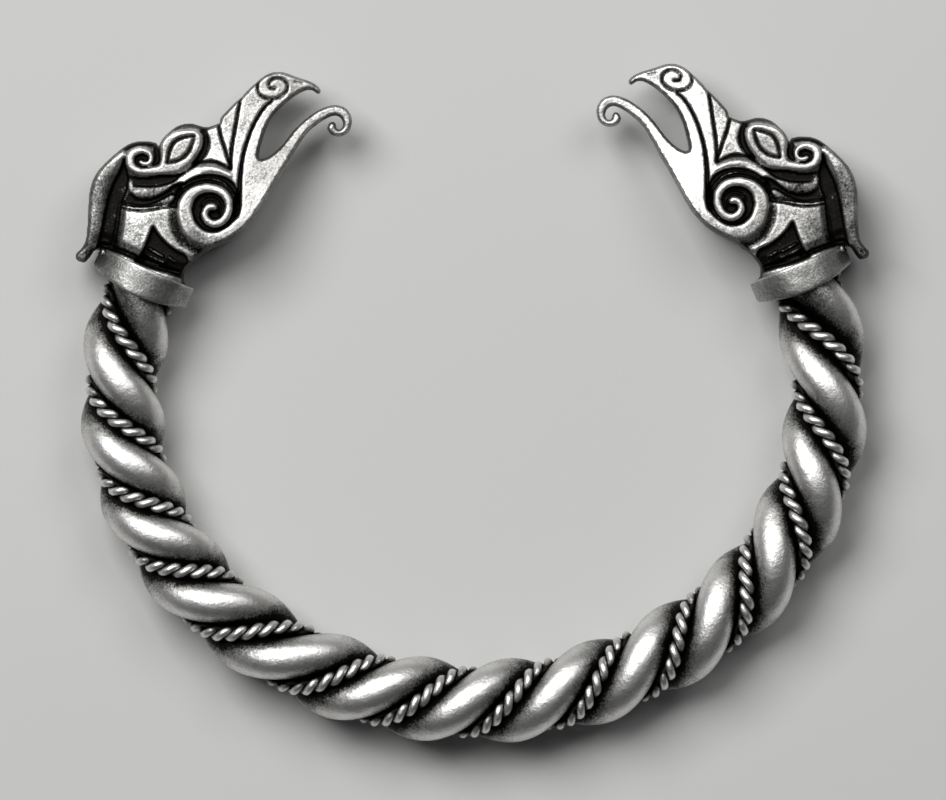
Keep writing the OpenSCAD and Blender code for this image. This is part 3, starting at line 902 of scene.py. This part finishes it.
WEDGE_LINE = [
    (9.80, 18.15, 0.11), (9.48, 16.50, 0.13), (9.22, 15.00, 0.13), (8.95, 13.50, 0.14),
    (8.80, 12.30, 0.16), (8.78, 11.00, 0.16)]

FOREHEAD_LINE = [
    (5.40, 11.45, 0.14), (6.30, 11.58, 0.14), (7.20, 11.55, 0.15), (8.00, 11.22, 0.15),
    (8.75, 10.80, 0.14)]

EYE_LINE = [
    (5.12, 14.15, 0.09), (4.88, 13.20, 0.12), (4.42, 12.35, 0.13), (3.60, 11.72, 0.13),
    (2.45, 11.45, 0.09)]

EYE_LINE_ABOVE = [
    (5.12, 14.15, 0.09), (4.20, 14.02, 0.12), (3.35, 13.68, 0.13), (2.85, 13.05, 0.14),
    (2.60, 12.30, 0.13), (2.45, 11.45, 0.09)]

SNOUT_SPIRAL = [
    (11.62, 19.70, 0.09), (11.42, 19.15, 0.11), (11.54, 18.48, 0.12), (12.04, 18.02, 0.12),
    (12.70, 17.86, 0.12), (13.38, 17.96, 0.12), (13.98, 18.26, 0.12), (14.36, 18.72, 0.12),
    (14.42, 19.20, 0.12), (14.16, 19.64, 0.11), (13.70, 19.92, 0.11), (13.18, 19.93, 0.11),
    (12.74, 19.68, 0.11), (12.55, 19.28, 0.12), (12.72, 18.94, 0.12), (13.20, 18.88, 0.11)]

SNOUT_DENT = [(15.10, 19.60, 0.10), (15.60, 19.48, 0.14), (16.10, 19.40, 0.10)]

MOAT = [
    (9.32, 7.50, 0.26), (9.15, 8.40, 0.40), (8.65, 9.22, 0.50), (7.70, 9.70, 0.50),
    (6.50, 9.85, 0.50), (5.50, 9.68, 0.48), (4.60, 9.26, 0.42), (3.85, 8.65, 0.34), (3.45, 7.90, 0.20)]

SHADE_BY_THE_RING = [
    (3.20, 7.70, 0.30), (2.98, 6.60, 0.50), (3.10, 5.30, 0.58), (3.60, 4.10, 0.62), (4.50, 3.10, 0.60),
    (5.90, 2.50, 0.50), (7.30, 2.30, 0.40)]

NECK_TOP = [
    (-2.00, 6.95, 0.10), (-1.20, 6.78, 0.11), (0.00, 6.72, 0.12), (1.00, 6.82, 0.12),
    (2.00, 7.00, 0.11), (3.35, 7.12, 0.12)]

COLLAR_SHADE = [
    (-4.00, 3.90, 0.8), (-2.60, 3.20, 0.85), (-1.30, 2.60, 0.8), (1.60, 1.40, 0.8), (4.30, 0.60, 0.9)]

RECESS_SHADE = [
    (-2.00, 7.30, 0.45), (-2.15, 6.30, 0.50), (-2.35, 5.20, 0.55), (-2.60, 4.00, 0.60),
    (-2.90, 3.10, 0.60)]

EYE_SHADE = [
    (6.05, 14.50, 0.45), (6.25, 13.80, 0.55), (6.28, 13.10, 0.60), (6.00, 12.40, 0.55),
    (5.60, 11.80, 0.45), (5.10, 11.35, 0.35)]

COLLAR_LINE = [
    (-4.10, 3.25, 0.35), (-2.20, 2.65, 0.32), (-0.40, 1.90, 0.30), (1.60, 1.10, 0.34), (4.20, 0.10, 0.40)]

NOTCH = [
    (1.00, 5.20), (1.60, 4.40), (2.40, 3.55), (3.30, 2.85), (4.30, 2.35), (4.60, 1.60), (4.20, 0.40),
    (1.60, 0.60), (-0.90, 1.60), (-0.40, 2.20), (0.05, 3.00), (0.50, 4.10)]
NOTCH_FLOOR = 3.00
HATCH = [
    [(0.55, 2.95, 0.15, 3.50), (1.30, 2.50, 0.16, 3.50), (2.00, 2.10, 0.14, 3.45)],
    [(0.10, 2.50, 0.15, 3.45), (1.05, 1.98, 0.15, 3.45), (2.10, 1.50, 0.14, 3.40)],
    [(2.50, 2.10, 0.14, 3.40), (3.20, 1.60, 0.14, 3.35)],
    [(0.20, 1.65, 0.14, 3.40), (1.20, 1.28, 0.14, 3.35), (2.40, 0.98, 0.14, 3.30)]]

# %% [markdown]
# ## From tables to the map
#
# A smooth curve is laid through each table, and every point of the map looks for the nearest station.
# Its distance, as a share of the band's half width, gives its place on the section: high in the
# middle, rounded at the shoulders and steep at the sides, like a cast ribbon. An outline works with
# the distance to its edge instead.
#
# Two repairs keep the mesh clean. Slivers that are left between two outlines would stand up as thin
# teeth, so narrow ones are lowered by the collar. High points that touch only at a corner are bridged.
#
# In the carving, a hollow is named with the level it is sunk to. A ribbon is named with the fall from
# its crest to its edges and with the power of its section, which is round at 2 and flatter in the
# middle above that. A cut is named with its depth, and with 1 for crisp edges or 2 for soft ones.

# %% The map
CELL = 0.110
MAP_LOW = np.array([-8.0, -2.6])
MAP_HIGH = np.array([21.8, 21.6])
STATION = 0.06
OUTLINE_STEP = 0.2
OUTLINE_REACH = 3.0
FAR_WEIGHT = 1e-6
WALL_SLOPE = 14.0
WALL_TALL = 2.0
NECK_LEAST = 2.2
PINCH_ROUNDS = 4
TOOTH_REACH = 2
map_x = np.arange(MAP_LOW[0], MAP_HIGH[0], CELL)
map_y = np.arange(MAP_LOW[1], MAP_HIGH[1], CELL)
grid_x, grid_y = np.meshgrid(map_x, map_y, indexing="ij")
print("map of", grid_x.shape, "points")


def smooth_curve(rows, step=STATION, closed=False):
    """Stations close together on a smooth curve through all of a table's rows."""
    rows = np.array(rows, dtype=np.float64)
    if closed:
        padded = np.vstack([rows[-1:], rows, rows[:2]])
    else:
        padded = np.vstack([2 * rows[0] - rows[1], rows, 2 * rows[-1] - rows[-2]])
    stations = []
    for before, first, second, after in zip(padded, padded[1:], padded[2:], padded[3:]):
        count = max(2, int(np.hypot(*(second - first)[:2]) / step))
        u = (np.arange(count) / count)[:, None]
        bend = (2 * before - 5 * first + 4 * second - after) * u ** 2
        twist = (3 * first - before - 3 * second + after) * u ** 3
        stations.append((2 * first + (second - before) * u + bend + twist) / 2)
    if not closed:
        stations.append(rows[-1:])
    return np.vstack(stations)


def window_round(stations, reach):
    """The part of the map within reach of a curve."""
    low = stations[:, :2].min(axis=0) - reach
    high = stations[:, :2].max(axis=0) + reach
    xs = slice(*np.searchsorted(map_x, (low[0], high[0])))
    ys = slice(*np.searchsorted(map_y, (low[1], high[1])))
    return xs, ys


def near(stations, reach):
    """A part of the map, with the distance to a curve and the nearest station's number there."""
    window = window_round(stations, reach)
    x, y = grid_x[window], grid_y[window]
    best = np.full(x.shape, np.inf)
    number = np.zeros(x.shape, dtype=int)
    for i, (sx, sy) in enumerate(stations[:, :2]):
        d = (x - sx) ** 2 + (y - sy) ** 2
        closer = d < best
        best[closer] = d[closer]
        number[closer] = i
    return window, np.sqrt(best), number


def inside_outline(outline):
    """A part of the map, and how far each point lies inside a closed outline, or outside as a minus."""
    corners = smooth_curve(outline, OUTLINE_STEP, closed=True)
    window = window_round(corners, OUTLINE_REACH)
    x, y = grid_x[window], grid_y[window]
    best = np.full(x.shape, np.inf)
    crossings = np.zeros(x.shape, dtype=bool)
    for (ax, ay), (bx, by) in zip(corners, np.roll(corners, -1, axis=0)):
        dx, dy = bx - ax, by - ay
        along = ((x - ax) * dx + (y - ay) * dy) / (dx * dx + dy * dy)
        along = np.clip(along, 0, 1)
        best = np.minimum(best, np.hypot(x - ax - along * dx, y - ay - along * dy))
        if dy != 0:
            spans = (y > min(ay, by)) & (y <= max(ay, by))
            crossings ^= spans & (x < ax + (y - ay) * dx / dy)
    return window, np.where(crossings, best, -best)


def thickness_map():
    """Half the head's thickness everywhere, as a mean of the table weighted by nearness."""
    total = np.zeros(grid_x.shape)
    weights = np.zeros(grid_x.shape)
    for x, y, half in HALF_THICKNESS:
        squared = ((grid_x - x) ** 2 + (grid_y - y) ** 2) / THICKNESS_REACH ** 2
        weight = np.exp(-squared) + FAR_WEIGHT / (1 + squared)
        total += weight * half
        weights += weight
    return total / weights


def raise_band(rows, fall, power):
    """Raises the map to a band whose crest falls by so much at its edges."""
    stations = smooth_curve(rows)
    window, distance, number = near(stations, stations[:, 2].max() + 2 * CELL)
    wide, high = stations[number, 2], stations[number, 3]
    share = np.minimum(distance / wide, 1)
    level = high - fall * (1 - (1 - share ** power) ** (1 / power))
    height[window] = np.where(distance < wide, np.maximum(height[window], level), height[window])


def raise_plate(outline, high, fall, rounding):
    """Raises the map inside an outline to a flat plate with round edges."""
    window, depth = inside_outline(outline)
    edge = np.clip(depth / rounding, 0, 1)
    level = high - fall * (1 - np.sqrt(1 - (1 - edge) ** 2))
    height[window] = np.where(depth > 0, np.maximum(height[window], level), height[window])


def sink(outline, level):
    """Sinks the map inside an outline to a level, between steep walls."""
    window, depth = inside_outline(outline)
    floor_level = np.maximum(level, level + WALL_TALL - depth * WALL_SLOPE)
    height[window] = np.where(depth > 0, np.minimum(height[window], floor_level), height[window])


def cut_line(rows, depth, power=2, shoulder=1):
    """Cuts a line into the map: flat at the bottom at a high power, round at the edges at shoulder 2."""
    stations = smooth_curve(rows)
    window, distance, number = near(stations, stations[:, 2].max() + 2 * CELL)
    share = np.minimum(distance / stations[number, 2], 1)
    height[window] -= depth * (1 - share ** power) ** shoulder


def blurred(values, radius):
    """A map softened by a bell-shaped blur, by a radius in millimetres."""
    reach = int(3 * radius / CELL) + 1
    weights = np.exp(-0.5 * (np.arange(-reach, reach + 1) * CELL / radius) ** 2)
    weights /= weights.sum()
    for axis in (0, 1):
        moved = np.zeros_like(values)
        padded = np.pad(values, [(reach, reach) if a == axis else (0, 0) for a in (0, 1)], mode="edge")
        for i, weight in enumerate(weights):
            part = [slice(None), slice(None)]
            part[axis] = slice(i, i + values.shape[axis])
            moved += weight * padded[tuple(part)]
        values = moved
    return values


def round_off(rows, power):
    """Lowers the map to a round section along a curve, fully at its start and not at all at its end."""
    stations = smooth_curve(rows)
    window, distance, number = near(stations, stations[:, 2].max() + 2 * CELL)
    share = np.minimum(distance / stations[number, 2], 1)
    level = stations[number, 3] * (1 - share ** power) ** (1 / power)
    u = number / (len(stations) - 1)
    fade = np.where(share < 1, 1 - u * u * (3 - 2 * u), 0)
    height[window] -= fade * np.maximum(height[window] - np.maximum(level, NECK_LEAST), 0)


def without_pinches(values):
    """Bridges two high points that meet only at a corner, where an edge would have four faces."""
    values = values.copy()
    for view in (values, values[:, ::-1]) * PINCH_ROUNDS:
        first, second = view[:-1, 1:].copy(), view[1:, :-1].copy()
        bridge = np.minimum(view[:-1, :-1], view[1:, 1:])
        pinched = bridge > np.maximum(first, second)
        view[:-1, 1:] = np.where(pinched & (first >= second), bridge, first)
        view[1:, :-1] = np.where(pinched & (first < second), bridge, view[1:, :-1])
    return values


def without_teeth(values):
    """Lowers everything that is narrower than five points of the map."""
    steps = range(-TOOTH_REACH, TOOTH_REACH + 1)
    for pick in (np.minimum, np.maximum):
        for axis in (0, 1):
            values = pick.reduce([np.roll(values, step, axis) for step in steps])
    return values


# %% Carving the head
HOLLOWS = [
    (RECESS_BY_STRAP, 2.20), (RECESS_UNDER_EYE, 2.95), (RECESS_UNDER_LEAF, 2.95),
    (SPIRAL_HOLLOW, 3.30), (CURL_HOLLOW, 2.90), (BY_THE_CURL, 2.90), (CROWN_BY_CURL, 2.50),
    (CROWN_BY_EYE, 2.60)]

# The wide shallow cuts named as shade darken the silver through the film: painted shade.
CUTS = [
    (NECK_TOP, 0.50, 1), (COLLAR_SHADE, 0.24, 2), (RECESS_SHADE, 0.34, 2), (EYE_SHADE, 0.45, 2),
    (COLLAR_LINE, 0.70, 1), (MAIN_GROOVE, 0.65, 1), (BROW_LINE, 0.50, 1), (WEDGE_LINE, 0.50, 1),
    (FOREHEAD_LINE, 0.50, 1), (EYE_LINE, 0.50, 1), (EYE_LINE_ABOVE, 0.50, 1),
    (SNOUT_SPIRAL, 0.42, 1), (SNOUT_DENT, 0.15, 1)]

COLLAR_SIDE = 3.4
COLLAR_SLOPE = 0.38
LEAST_BY_COLLAR = 1.2

thick = thickness_map()
height = thick.copy()
inside = np.full(grid_x.shape, -OUTLINE_REACH)
head_window, head_depth = inside_outline(HEAD_OUTLINE)
inside[head_window] = head_depth
round_off(NECK, 2.5)
plain = height.copy()

for outline, level in HOLLOWS:
    sink(outline, level)
raise_band(CREST_STRAP, 1.0, 2.8)
raise_plate(EYE_PLATE, 3.95, 0.6, 0.28)
raise_band(LEAF, 0.5, 3)
raise_band(EYE_TAIL, 0.6, 4.5)
for rows in RIDGES_IN_SPIRAL:
    raise_band(rows, 0.3, 2)
raise_band(UNDER_LEAF_PATCH, 0.4, 2.5)
cut_line(MOAT, 0.8, 6)
raise_band(RIDGE_OVER_SPIRAL, 0.25, 2)
# A shallow dip beside the jaw ring, whose darker silver is painted shade.
cut_line(SHADE_BY_THE_RING, 0.26, shoulder=2)
raise_band(JAW_SPIRAL, 0.7, 4.5)
sink(NOTCH, NOTCH_FLOOR)

by_collar = (grid_y < COLLAR_SIDE - COLLAR_SLOPE * grid_x) & (inside > 0)
toothless = without_teeth(np.where(inside > 0, height, 0))
height = np.where(by_collar, np.maximum(toothless, LEAST_BY_COLLAR), height)
for rows in HATCH:
    raise_band(rows, 0.35, 2)

before_cuts = height.copy()
for rows, depth, shoulder in CUTS:
    cut_line(rows, depth, shoulder=shoulder)

# %% [markdown]
# Wax softens every edge before it is cast, so the map is blurred by less than a tenth of a
# millimetre. The outer edges are rounded more. The black film is thickest where the carving is sunk
# below the plain thickness, and it creeps a little up the walls. The mean height round each point is
# kept too, because what stands above it is a crest.

# %% Softening and patina
SOFT = 0.06
EDGE_LEAST = 0.12
EDGE_SHARE = 0.13
EDGE_MOST = 0.30
OUTER_SLOPE = 6.0
CREEP = 0.06
FINE_RING = 0.35
LEAST_PART = 0.05
part_of_head = (inside > 0).astype(np.float64)
carved = height
height = blurred(carved, SOFT)
rounding = np.minimum(EDGE_LEAST + EDGE_SHARE * thick, EDGE_MOST)
edge = np.clip(inside / rounding, 0, 1)
rounded = height * np.sqrt(1 - (1 - edge) ** 2)
surface = without_pinches(np.where(inside > 0, rounded, OUTER_SLOPE * inside))
# The shallow shade cuts count as sunk here, so the film they get is painted shade.
sunk = blurred(np.maximum(plain - before_cuts, 0) + before_cuts - carved, CREEP)
part_near = np.maximum(blurred(part_of_head, FINE_RING), LEAST_PART)
mean = blurred(part_of_head * height, FINE_RING) / part_near
print("thickest place in mm:", round(2 * float(surface.max()), 2))

# %% [markdown]
# ## From the map to a closed mesh
#
# A map of heights makes poor walls where bands drop steeply. So the solid is sampled in a fine grid
# of cells instead, and a vertex is set in every cell that the surface passes through, at the mean of
# its crossings. Joining neighbours gives an even mesh of quads, closed all round: the method is
# called surface nets. A few gentle smoothing steps take the cells' pattern away. The layers of cells
# are twice as tall as the cells are wide, because the walls between the two faces are nearly plain.


# %% Surface nets
def surface_nets(field):
    """Points in cells and quads of the surface where a field in a grid crosses 0. Positive is solid."""
    solid = field > 0
    corner_steps = [(i, j, k) for i in (0, 1) for j in (0, 1) for k in (0, 1)]
    size = np.array(field.shape) - 1

    def shifted(array, step):
        return array[tuple(slice(a, a + n) for a, n in zip(step, size))]

    count = sum(shifted(solid, step).astype(np.uint8) for step in corner_steps)
    cells = np.argwhere((count > 0) & (count < 8))
    corners = np.stack([field[tuple((cells + step).T)] for step in corner_steps], axis=1)
    total = np.zeros((len(cells), 3))
    crossings = np.zeros(len(cells))
    for a, start in enumerate(corner_steps):
        for b, stop in enumerate(corner_steps):
            if sum(stop) - sum(start) != 1 or any(q < p for p, q in zip(start, stop)):
                continue
            first, second = corners[:, a], corners[:, b]
            crossing = (first > 0) != (second > 0)
            share = np.where(crossing, first / np.where(crossing, first - second, 1), 0)
            place = np.array(start) + share[:, None] * (np.array(stop) - np.array(start))
            total += np.where(crossing[:, None], place, 0)
            crossings += crossing
    points = cells + total / crossings[:, None]
    number = np.full(size, -1, dtype=np.int64)
    number[tuple(cells.T)] = np.arange(len(cells))
    quads = []
    for axis in range(3):
        one = np.zeros(3, dtype=int)
        one[axis] = 1
        start = solid[tuple(slice(0, n - d) for n, d in zip(solid.shape, one))]
        stop = solid[tuple(slice(d, None) for d in one)]
        others = [a for a in range(3) if a != axis]
        for sign, change in ((1, start & ~stop), (-1, ~start & stop)):
            edges = np.argwhere(change)
            fits = np.all([(edges[:, a] > 0) & (edges[:, a] < size[a]) for a in others], axis=0)
            edges = edges[fits]
            ring = []
            for step in ((0, 0), (-1, 0), (-1, -1), (0, -1)):
                cell = edges.copy()
                cell[:, (axis + 1) % 3] += step[0]
                cell[:, (axis + 2) % 3] += step[1]
                ring.append(number[tuple(cell.T)])
            quads.append(np.stack(ring[::sign], axis=1))
    return points, np.vstack(quads)


STEP_IN = 0.5
STEP_OUT = -0.52


def smoothed(points, quads, rounds):
    """Moves points towards their neighbours and then out again, so that the mesh doesn't shrink."""
    starts = quads.ravel()
    ends = np.roll(quads, -1, axis=1).ravel()
    degree = np.bincount(starts, minlength=len(points)) + np.bincount(ends, minlength=len(points))
    for step in (STEP_IN, STEP_OUT) * rounds:
        mean = np.empty_like(points)
        for axis in range(3):
            values = points[:, axis]
            ahead = np.bincount(starts, values[ends], len(points))
            back = np.bincount(ends, values[starts], len(points))
            mean[:, axis] = (ahead + back) / degree
        points = points + step * (mean - points)
    return points


# %% Meshing the head
LAYER = 0.22
SMOOTHING = 3
STEEPEST = 10
layers = int(surface.max() / LAYER) + 3
levels = np.arange(-layers, layers + 1) * LAYER
slope_x, slope_y = np.gradient(surface, CELL)
steepness = np.sqrt(1 + np.minimum(slope_x ** 2 + slope_y ** 2, STEEPEST ** 2))
field = (surface[:, :, None] - np.abs(levels)[None, None, :]) / steepness[:, :, None]
cells, head_quads = surface_nets(field)
cells = smoothed(cells, head_quads, SMOOTHING)
head_points = cells * (CELL, CELL, LAYER) + (MAP_LOW[0], MAP_LOW[1], -layers * LAYER)
del field
print("a head has", len(head_quads), "quads")


def read_map(values, points):
    """Values of a map at points, blended between the four nearest."""
    place = (points[:, :2] - MAP_LOW) / CELL
    low = np.clip(np.floor(place).astype(int), 0, np.array(values.shape) - 2)
    u, v = (place - low).T
    i, j = low.T
    first = values[i, j] * (1 - u) + values[i + 1, j] * u
    second = values[i, j + 1] * (1 - u) + values[i + 1, j + 1] * u
    return first * (1 - v) + second * v


# %% [markdown]
# ## How bright each point of a head is
#
# A plain face is rubbed half bright. The beak is painted a little brighter, as a painted highlight, and the
# neck is darker towards the collar. The crest strap is darker too, except along its outer edge. The film
# takes the brightness away in the hollows, but little of it lies on the outer sides, well below the broad
# faces; in the wide shallow shade cuts its darkening is painted shade. Crests get a little more brightness
# on the broad faces, and the sides are a touch darker than those, as painted shade.

# %% Patina of the heads
PLAIN_WEAR = 0.47
BEAK_PAINTED_LIGHT = 0.10
BEAK_FROM = 9.0
BEAK_SPAN = 2.5
NECK_DULL = 0.15
NECK_Y = 6.8
NECK_SPAN = 4.5
STRAP_DULL = 0.34
STRAP_X = -2.4
STRAP_SPAN = 1.0
STRAP_FADE = 1.9
FILM_DEPTH = 0.50
WALL_FADE = 1.2
WALL_CLEAR = 0.7
CREST_WEAR = 0.24
FINE_SPAN = 0.30
FACE_SHARE = 0.55
HEAD_SIDE_SHADE = 0.95
rise = np.abs(head_points[:, 2])
open_face = np.clip(rise / (FACE_SHARE * read_map(thick, head_points)), 0, 1)
fine = open_face * np.clip((rise - read_map(mean, head_points)) / FINE_SPAN, -1, 1)
held = np.clip((read_map(height, head_points) - rise) / WALL_FADE, 0, 1)
# This holds the real black film in the hollows and painted shade in the shallow shade cuts.
film_and_shade = np.minimum(read_map(sunk, head_points) / FILM_DEPTH, 1) * (1 - WALL_CLEAR * held)
# The beak is painted brighter: a painted highlight where its faces catch the light.
towards_beak = np.clip((head_points[:, 0] - BEAK_FROM) / BEAK_SPAN, 0, 1)
plain_share = PLAIN_WEAR + BEAK_PAINTED_LIGHT * towards_beak
behind = np.clip((STRAP_X - head_points[:, 0]) / STRAP_SPAN, 0, 1)
within = np.clip(read_map(inside, head_points) / STRAP_FADE, 0, 1)
plain_share -= STRAP_DULL * behind * within
plain_share -= NECK_DULL * np.clip((NECK_Y - head_points[:, 1]) / NECK_SPAN, 0, 1)
rubbed = plain_share * (1 - film_and_shade) + CREST_WEAR * fine
# The sides below the broad faces are a touch darker here: painted shade.
head_relief = np.clip(rubbed, 0, 1) * (HEAD_SIDE_SHADE + (1 - HEAD_SIDE_SHADE) * open_face)

for side in ("left", "right"):
    end_piece(side, f"cast_head_{side}", head_points, head_quads, head_relief, cast_silver,
              f"head_{side}")
